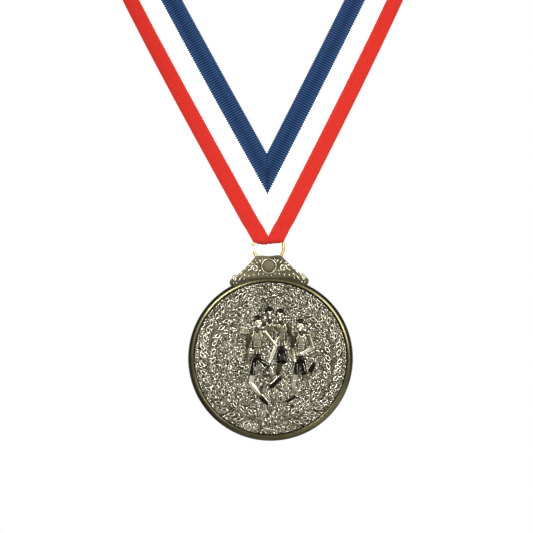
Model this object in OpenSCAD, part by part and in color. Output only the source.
// Finisher medal on a neck ribbon, hanging as it is worn.
// Millimetres. +Z is up, the medal faces -Y, and +X is to its viewer's right.
// The origin is the middle of the ribbon at the nape of the neck.

/* [Neck ribbon] */
// Width of the ribbon
ribbon_w = 22; // [18:0.5:27]
// Length of the loop along the middle of the ribbon, seam to seam
ribbon_len = 800; // [640:10:960]
// Thickness of the ribbon
ribbon_t = 0.5; // [0.4:0.05:0.6]
// Angle of each strap from the vertical at the V
v_angle = 28; // [23:1:34]
// Height of the crossing of the strap middles above the fold
v_to_fold = 12.2; // [10:0.1:14.6]
// Radius of the fold that passes through the ring
fold_r = 1.95; // [1.85:0.05:2.4]
// Radius of the bends that lead the two plies together above the ring
lean_r = 3; // [2.4:0.1:4]
// Width of the tongue that is turned up behind
tongue_w = 7; // [5:0.5:9]
// Length of the tongue that lies against the front ply
tongue_lap = 4; // [3.4:0.1:5]
// Gap between the front ply and the tongue
ply_gap = 0.05; // [0.02:0.01:0.1]

/* [Stitching] */
// Diameter of the sewing thread
thread_d = 0.35; // [0.25:0.05:0.45]
// Length of one stitch of the mitre seam
stitch_len = 2.2; // [1.6:0.1:2.6]
// Pitch of the mitre seam stitches
stitch_pitch = 3; // [2.8:0.1:4]
// Width of the bar tack
tack_w = 5; // [3.6:0.2:6]
// Height of the bar tack
tack_h = 1.6; // [1.2:0.1:2]

/* [Jump ring] */
// Outer diameter of the ring
ring_od = 13; // [12:0.5:16]
// Diameter of the ring wire
wire_d = 1.1; // [0.9:0.1:1.3]
// Height of the wire's middle at the crown above the ribbon fold
fold_to_crown = 4.3; // [3.9:0.1:5.2]
// Free length between the two ends of the ring
split_gap = 1; // [0.6:0.1:1.4]
// Length of the end that is sprung outwards
flare_len = 1.7; // [1.2:0.1:2]
// Radius of that end's outward bend
flare_r = 3; // [2:0.5:5]

/* [Disc] */
// Diameter of the disc
disc_d = 65; // [54:1:78]
// Thickness of the rim
rim_t = 4.1; // [3.8:0.1:5]
// Width of the rim
rim_w = 2.2; // [1.6:0.1:3]
// Depth of the front field below the rim
field_depth = 1.1; // [0.8:0.05:1.3]
// Depth of the back face below the rim
back_depth = 1; // [0.6:0.05:1.2]
// Diameter of the plain seat on the back for an engraved plate
seat_d = 50; // [40:1:54]
// Depth of that seat below the back face
seat_depth = 0.3; // [0.2:0.05:0.5]

/* [Tab and lug] */
// Width of the ornamented tab at its lobes
tab_w = 31.2; // [26:0.4:37.6]
// Width of the flat top of the tab
tab_top_w = 9.8; // [8:0.2:12]
// Height of the top of the tab above the disc
tab_rise = 8.1; // [7:0.1:9.8]
// Thickness of the tab plate
tab_t = 1.1; // [0.9:0.1:1.3]
// Diameter of the round boss in the middle of the ornament
boss_d = 5.8; // [4.8:0.1:6.4]
// Height of the tab ornament above its plate
ornament_h = 0.5; // [0.3:0.1:0.7]
// Depth from the top of the tab down to the hole in the lug
lug_drop = 2.8; // [2.6:0.1:3.4]
// Length of the hole through the lug
lug_len = 2.8; // [2:0.1:3.4]
// Wall of the lug around its hole
lug_wall = 0.95; // [0.8:0.05:1.2]

/* [Relief] */
// Radius of the laurel stems
stem_r = 24.6; // [21:0.1:29]
// Length of a laurel leaf
leaf_len = 3.7; // [3:0.1:5]
// Width of a laurel leaf
leaf_w = 2.05; // [1.6:0.05:2.8]
// Height of the relief above the field
relief_h = 0.9; // [0.5:0.05:1]
// Standing height of a runner
runner_h = 40; // [30:1:44]

/* [Fits] */
// Radial clearance of the ring wire in the hole of the lug
lug_clear = 0.17; // [0.12:0.01:0.25]
// Clearance between the ring wire and the ribbon fold
fold_clear = 0.3; // [0.2:0.05:0.4]
// Clearance between the ring wire and the back of the tab
tab_clear = 0.4; // [0.3:0.05:0.6]

/* [Hidden] */
fine = 96;
eps = 0.01;

// The ribbon is a straight strip laid on a cone whose front line is upright. Flattened out,
// half the loop fills the sector sector_half, with the cone's tip at its corner.
sector_half = 90 - v_angle;
cone_half = asin(sector_half / 180);
nape_rho = ribbon_len / 2 / tan(sector_half);
cross_rho = ribbon_len / 2 / sin(sector_half);
nape = nape_rho * [0, sin(2 * cone_half), -cos(2 * cone_half)];
strap_columns = 30;
tip_columns = 4;

// The fold: a pocket of two plies with the ring wire between them
wire_r = wire_d / 2;
ring_r = (ring_od - wire_d) / 2;
ply_step = (ribbon_t + ply_gap) / 2;
lean_turn = acos(1 - (fold_r - ply_step) / (2 * lean_r));
lean_run = lean_r * lean_turn * PI / 180;
pocket_h = fold_to_crown - fold_r + wire_r + fold_clear / 4;
fold_z = -cross_rho - v_to_fold;
bend_z = fold_z + fold_r;
top_z = bend_z + pocket_h + 2 * lean_r * sin(lean_turn);
outer_tip_z = -(nape_rho + ribbon_w / 2) / cos(sector_half);
inner_tip_z = -(nape_rho - ribbon_w / 2) / cos(sector_half);
crown_z = fold_z + fold_to_crown;
eye_z = crown_z - ring_r;
fold_steps = 20;
bend_steps = 4;

// Legs of the fold as [length, turn, steps], from the front ply to the end of the tongue
fold_legs = [
    [lean_run, lean_turn, bend_steps],
    [lean_run, -lean_turn, bend_steps],
    [pocket_h, 0, 1],
    [PI * fold_r, -180, fold_steps],
    [pocket_h, 0, 1],
    [lean_run, -lean_turn, bend_steps],
    [lean_run, lean_turn, bend_steps],
    [tongue_lap, 0, 1]
];
low_run = 2 * lean_run + pocket_h + PI * fold_r / 2;

// The medal hangs with the middle of its lug hole on the middle of the wire
disc_r = disc_d / 2;
field_y = -rim_t / 2 + field_depth;
tab_top_z = disc_r + tab_rise;
lug_z = tab_top_z - lug_drop;
hole_r = wire_r + ring_r - sqrt(pow(ring_r, 2) - pow(lug_len / 2, 2)) + lug_clear;
tab_back_y = -wire_r - tab_clear;
tab_front_y = tab_back_y - tab_t;
lobe_r = 1.7;
boss_z = lug_z - 1.4;
gap_angle = 185;

// ---- Ribbon ----

// A point of the cone at an angle phi and a distance rho of the flat pattern
function on_cone(phi, rho) =
    let (turn = phi / sin(cone_half))
    rho * [sin(cone_half) * sin(turn),
           sin(cone_half) * cos(cone_half) * (1 - cos(turn)),
           -pow(cos(cone_half), 2) - pow(sin(cone_half), 2) * cos(turn)];

// The cone's outward direction there, which faces -Y at the front
function cone_normal(phi) =
    let (turn = phi / sin(cone_half))
    [cos(cone_half) * sin(turn),
     -pow(sin(cone_half), 2) - pow(cos(cone_half), 2) * cos(turn),
     sin(cone_half) * cos(cone_half) * (1 - cos(turn))];

// Distance of the ribbon edge from the cone's tip, side -1 being the inner edge
function edge_rho(phi, side) = (nape_rho + side * ribbon_w / 2) / cos(sector_half - abs(phi));

// Walk along the fold, each station being [y, z, heading, run]
function next_station(at, leg) =
    let (turn = leg[1], heading = at[2] + turn, bend_r = turn == 0 ? 0 : leg[0] * 180 / PI / turn)
    turn == 0
        ? [at[0] - leg[0] * sin(at[2]), at[1] - leg[0] * cos(at[2]), heading, at[3] + leg[0]]
        : [at[0] + bend_r * (cos(heading) - cos(at[2])),
           at[1] - bend_r * (sin(heading) - sin(at[2])), heading, at[3] + leg[0]];
function walk(legs, at, i = 0) =
    i == len(legs) ? [at] : concat([at], walk(legs, next_station(at, legs[i]), i + 1));
fold_stations = walk([for (leg = fold_legs) for (k = [1 : leg[2]]) [leg[0], leg[1]] / leg[2]],
                     [0, 0, 0, 0]);

// Half width of the ribbon at a station: the tapering V, kept inside the ring, then the tongue
function ring_limit(at) =
    let (reach = wire_r + ribbon_t / 2 + fold_clear,
         off = abs(at[0] - ply_step),
         room = ring_r - sqrt(max(0, pow(reach, 2) - pow(off, 2))),
         up = top_z + at[1] - eye_z)
    top_z + at[1] < bend_z && off < reach ? sqrt(max(0, pow(room, 2) - pow(up, 2))) : ribbon_w;
function half_width(at) =
    let (taper = (top_z - outer_tip_z - at[3]) * tan(v_angle))
    min(ring_limit(at), at[3] > low_run ? max(taper, tongue_w / 2) : taper);
tip_half_w = half_width(fold_stations[0]);
tip_phi = atan(tip_half_w / -top_z);

// Middle point and front direction of the folded tip, at a station and a share of its width
function tip_phi_at(at, share) = atan(share * half_width(at) / -top_z);
function tip_point(at, share) =
    let (phi = tip_phi_at(at, share))
    on_cone(phi, -top_z / cos(phi)) + [0, at[0], at[1]];
function tip_normal(at, share) =
    let (n = cone_normal(tip_phi_at(at, share)), a = at[2])
    [n[0], n[1] * cos(a) + n[2] * sin(a), n[2] * cos(a) - n[1] * sin(a)];

// Columns of the loop as [phi, lower rho]: across the tip, along one strap, and back
tip_shares = [for (j = [-tip_columns : tip_columns]) j / tip_columns];
strap_phis = [for (k = [1 : strap_columns]) tip_phi + (sector_half - tip_phi) * k / strap_columns];
loop_columns = concat(
    [for (s = tip_shares) let (phi = tip_phi_at(fold_stations[0], s)) [phi, -top_z / cos(phi)]],
    [for (phi = strap_phis) [phi, edge_rho(phi, 1)]],
    [for (k = [strap_columns - 2 : -1 : 0]) [-strap_phis[k], edge_rho(strap_phis[k], 1)]]
);

// A closed sheet from two grids of points, its front and its back; closed joins the last column
// to the first
module sheet(front, back, closed = false) {
    rows = len(front);
    columns = len(front[0]);
    spans = closed ? columns : columns - 1;
    points = [for (grid = [front, back]) for (row = grid) for (p = row) p];
    function at(side, r, c) = (side * rows + r) * columns + c % columns;
    function quad(a, b, c, d) = [[a, b, c], [a, c, d]];
    faces = [
        for (r = [0 : rows - 2]) for (c = [0 : spans - 1])
            each concat(quad(at(0, r, c), at(0, r, c + 1), at(0, r + 1, c + 1), at(0, r + 1, c)),
                        quad(at(1, r, c), at(1, r + 1, c), at(1, r + 1, c + 1), at(1, r, c + 1))),
        for (c = [0 : spans - 1])
            each concat(quad(at(0, 0, c), at(1, 0, c), at(1, 0, c + 1), at(0, 0, c + 1)),
                        quad(at(0, rows - 1, c), at(0, rows - 1, c + 1),
                             at(1, rows - 1, c + 1), at(1, rows - 1, c))),
        if (!closed) for (r = [0 : rows - 2])
            each concat(quad(at(0, r, 0), at(0, r + 1, 0), at(1, r + 1, 0), at(1, r, 0)),
                        quad(at(0, r, spans), at(1, r, spans), at(1, r + 1, spans),
                             at(0, r + 1, spans)))
    ];
    polyhedron(points, faces, convexity = 6);
}

module ribbon_loop() {
    function side_rows(side) = [
        [for (c = loop_columns)
            on_cone(c[0], edge_rho(c[0], -1)) + side * ribbon_t / 2 * cone_normal(c[0])],
        [for (c = loop_columns) on_cone(c[0], c[1]) + side * ribbon_t / 2 * cone_normal(c[0])]
    ];
    sheet(side_rows(1), side_rows(-1), closed = true);
}

module ribbon_tip() {
    function side_rows(side) = [
        for (at = fold_stations) [for (s = tip_shares)
            tip_point(at, s) + side * ribbon_t / 2 * tip_normal(at, s)]
    ];
    sheet(side_rows(1), side_rows(-1));
}

module neck_ribbon() {
    color("navy") translate(-nape) {
        ribbon_loop();
        ribbon_tip();
    }
}

// Stitches along the back of the mitre, half sunk in the ribbon
module mitre_seam_thread() {
    seam_h = inner_tip_z - top_z - tongue_lap;
    count = floor(seam_h / stitch_pitch);
    color("midnightblue") translate(-nape)
        for (i = [0 : count - 1])
            translate([0, ribbon_t / 2, inner_tip_z - (i + 1) * stitch_pitch])
                cylinder(d = thread_d, h = stitch_len, $fn = 24);
}

// A row of tight stitches through the tongue and half the front ply
module bar_tack_thread() {
    count = floor(tack_w / thread_d);
    tack_z = top_z + (tongue_lap - tack_h) / 2;
    color("midnightblue") translate(-nape) translate([0, 0, tack_z]) {
        translate([-tack_w / 2, 0, thread_d / 2])
            cube([tack_w, 2 * ply_step + ribbon_t / 2, tack_h - thread_d]);
        for (i = [0 : count])
            translate([(i / count - 0.5) * (tack_w - thread_d), 2 * ply_step + ribbon_t / 2, 0])
                cylinder(d = thread_d, h = tack_h, $fn = 24);
    }
}

// ---- Jump ring ----

module jump_ring() {
    gap_turn = (split_gap + wire_d) / ring_r * 180 / PI;
    arc_start = gap_angle + gap_turn / 2;
    elbow = gap_angle - gap_turn / 2 - flare_len / ring_r * 180 / PI;
    flare_turn = flare_len / flare_r * 180 / PI;
    root_turn = 3;
    color("goldenrod") translate(-nape + [0, ply_step, eye_z]) rotate([90, 0, 0]) {
        rotate([0, 0, arc_start]) bent_wire(ring_r, elbow + 360 - arc_start, wire_r);
        rotate([0, 0, elbow]) translate([ring_r + flare_r, 0, 0])
            rotate([0, 0, 180 - flare_turn])
                bent_wire(flare_r, flare_turn + root_turn, wire_r - 2 * eps);
    }
}

// Wire bent to an arc about the origin
module bent_wire(bend_r, turn, thick_r) {
    rotate_extrude(angle = turn, $fn = fine) translate([bend_r, 0]) circle(thick_r, $fn = 32);
}

// ---- Medal, drawn about the middle of its disc ----

// A plate of the outline children() between two depths, y_back being the deeper one
module plate(y_front, y_back) {
    translate([0, y_back, 0]) rotate([90, 0, 0]) linear_extrude(y_back - y_front) children();
}

// The disc's section, turned about its axis: web, rim with rounded outer corners
module disc_blank() {
    round_r = 0.9;
    rotate([90, 0, 0]) rotate_extrude($fn = fine) {
        translate([0, -rim_t / 2 + back_depth])
            square([disc_r - rim_w + eps, rim_t - field_depth - back_depth]);
        translate([disc_r - rim_w, -rim_t / 2]) square([rim_w - round_r, rim_t]);
        translate([disc_r - rim_w, -rim_t / 2 + round_r]) square([rim_w, rim_t - 2 * round_r]);
        for (side = [-1, 1])
            translate([disc_r - round_r, side * (rim_t / 2 - round_r)]) circle(round_r, $fn = 32);
    }
}

// Outline of the tab: flat top, hollow sloping sides, a round lobe at each end
module tab_outline() {
    lobe_x = tab_w / 2 - lobe_r;
    lobe_z = sqrt(pow(disc_r, 2) - pow(lobe_x, 2)) + lobe_r / 2;
    side_r = 60;
    slope_run = lobe_x - tab_top_w / 2;
    slope_drop = tab_top_z - lobe_z - lobe_r;
    slope_len = sqrt(pow(slope_run, 2) + pow(slope_drop, 2));
    slope_angle = atan(slope_drop / slope_run);
    difference() {
        polygon([
            [-lobe_x, lobe_z - lobe_r], [-lobe_x, lobe_z + lobe_r], [-tab_top_w / 2, tab_top_z],
            [tab_top_w / 2, tab_top_z], [lobe_x, lobe_z + lobe_r], [lobe_x, lobe_z - lobe_r]
        ]);
        for (side = [-1, 1]) {
            middle = [tab_top_w / 2 + slope_run / 2, tab_top_z - slope_drop / 2];
            away = sqrt(pow(side_r, 2) - pow(slope_len / 2, 2));
            hollow = middle + away * [sin(slope_angle), cos(slope_angle)];
            translate([side * hollow[0], hollow[1]]) circle(side_r, $fn = 128);
        }
    }
    for (side = [-1, 1])
        translate([side * lobe_x, lobe_z]) circle(lobe_r, $fn = 32);
}

// Leaves of the tab ornament, which shrink outwards along the tab, around the round boss
module tab_ornament() {
    leaf_r = (tab_top_z - disc_r) * 0.27;
    intersection() {
        tab_outline();
        for (side = [-1, 1])
            for (i = [0 : 2])
                translate([side * (boss_d / 2 + leaf_r * (0.9 + 1.55 * i)), boss_z - 0.55 * i * leaf_r])
                    circle(leaf_r * (1 - 0.14 * i), $fn = 32);
    }
    difference() {
        translate([0, boss_z]) circle(d = boss_d, $fn = 48);
        translate([0, boss_z]) circle(d = boss_d - 1, $fn = 48);
    }
}

module tab() {
    plate(tab_front_y, tab_back_y)
        difference() {
            tab_outline();
            circle(disc_r - rim_w / 2, $fn = fine);
        }
    plate(tab_front_y - ornament_h, tab_front_y + eps) tab_ornament();
}

// The lug stands on the back of the tab, and its hole runs from side to side
module lug_body() {
    translate([-lug_len / 2, 0, lug_z]) {
        rotate([0, 90, 0]) cylinder(r = hole_r + lug_wall, h = lug_len, $fn = 64);
        translate([0, tab_back_y - eps, -hole_r - lug_wall])
            cube([lug_len, -tab_back_y + eps, 2 * (hole_r + lug_wall)]);
    }
}

module lug_hole() {
    translate([-lug_len, 0, lug_z]) rotate([0, 90, 0])
        cylinder(r = hole_r, h = 2 * lug_len, $fn = 64);
}

// A leaf: the overlap of two circles, pointing along +X from its stalk
module leaf() {
    arc_r = (pow(leaf_len, 2) + pow(leaf_w, 2)) / (4 * leaf_w);
    translate([leaf_len / 2, 0])
        intersection() {
            translate([0, arc_r - leaf_w / 2]) circle(arc_r, $fn = 48);
            translate([0, leaf_w / 2 - arc_r]) circle(arc_r, $fn = 48);
        }
}

// One branch of the wreath, from its foot up to its tip, with leaves on both sides
module branch() {
    foot = -72;
    tip = 64;
    inner_pitch = 9.1;
    outer_pitch = 7.8;
    for (turn = [foot : inner_pitch : tip])
        rotate(turn) translate([stem_r - 1, 0]) rotate(90 + 40) leaf();
    for (turn = [foot : outer_pitch : tip])
        rotate(turn) translate([stem_r + 1, 0]) rotate(90 - 32) leaf();
}

module stem() {
    foot = -84;
    tip = 66;
    rotate([90, 0, 0]) translate([0, 0, -field_y - eps]) rotate([0, 0, foot])
        rotate_extrude(angle = tip - foot, $fn = fine)
            translate([stem_r - 0.4, 0]) square([0.8, relief_h * 0.6]);
}

module wreath() {
    for (side = [0, 1])
        mirror([side, 0, 0]) {
            plate(field_y - relief_h * 0.8, field_y + eps) branch();
            stem();
        }
}

// ---- Runners: chains of round-ended limbs, with angles from straight down, + to the right ----

function reach(from, angle, length) = from + length * [sin(angle), -cos(angle)];

module limb(from, to, width) {
    run = to - from;
    translate(from) rotate(atan2(run[1], run[0])) {
        translate([0, -width / 2]) square([norm(run), width]);
        circle(d = width, $fn = 24);
        translate([norm(run), 0]) circle(d = width, $fn = 24);
    }
}

// One two-part limb, an arm or a leg, of the given share of the runner's height
module bent_limb(from, upper, lower, length, width) {
    elbow = reach(from, upper, length / 2);
    limb(from, elbow, width);
    limb(elbow, reach(elbow, lower, length / 2), width * 0.75);
}

// A runner with hips at a place, given as shares of the standing height from the disc's middle,
// a lean of the trunk, and [upper, lower] angles of each limb
module runner(place, lean, near_leg, far_leg, near_arm, far_arm) {
    hips = runner_h * place;
    neck = reach(hips, 180 - lean, runner_h * 0.3);
    shoulders = reach(hips, 180 - lean, runner_h * 0.26);
    limb(hips, shoulders, runner_h * 0.15);
    translate(reach(neck, 180 - lean, runner_h * 0.07)) circle(runner_h * 0.065, $fn = 32);
    limb(shoulders, neck, runner_h * 0.07);
    bent_limb(hips, near_leg[0], near_leg[1], runner_h * 0.48, runner_h * 0.1);
    bent_limb(hips, far_leg[0], far_leg[1], runner_h * 0.48, runner_h * 0.1);
    bent_limb(shoulders, near_arm[0], near_arm[1], runner_h * 0.34, runner_h * 0.07);
    bent_limb(shoulders, far_arm[0], far_arm[1], runner_h * 0.34, runner_h * 0.07);
}

module runners() {
    plate(field_y - relief_h, field_y + eps) {
        runner([-0.13, 0], 2, [-22, 34], [30, 84], [52, -22], [-40, -118]);
        runner([0.285, -0.03], -3, [-16, -8], [34, 96], [50, -66], [-36, -112]);
    }
    plate(field_y - relief_h * 0.6, field_y + eps) {
        runner([0.01, 0.1], -2, [-14, 26], [24, 76], [48, -28], [-34, -96]);
        runner([0.12, 0.07], -3, [-18, 12], [26, 70], [46, -34], [-30, -92]);
    }
}

module medal() {
    color([0.52, 0.49, 0.38]) translate(-nape + [0, ply_step, eye_z - ring_r - lug_z])
        difference() {
            union() {
                disc_blank();
                tab();
                lug_body();
                wreath();
                runners();
            }
            lug_hole();
            plate(rim_t / 2 - back_depth - seat_depth, rim_t / 2)
                circle(d = seat_d, $fn = fine);
        }
}

neck_ribbon();
mitre_seam_thread();
bar_tack_thread();
jump_ring();
medal();
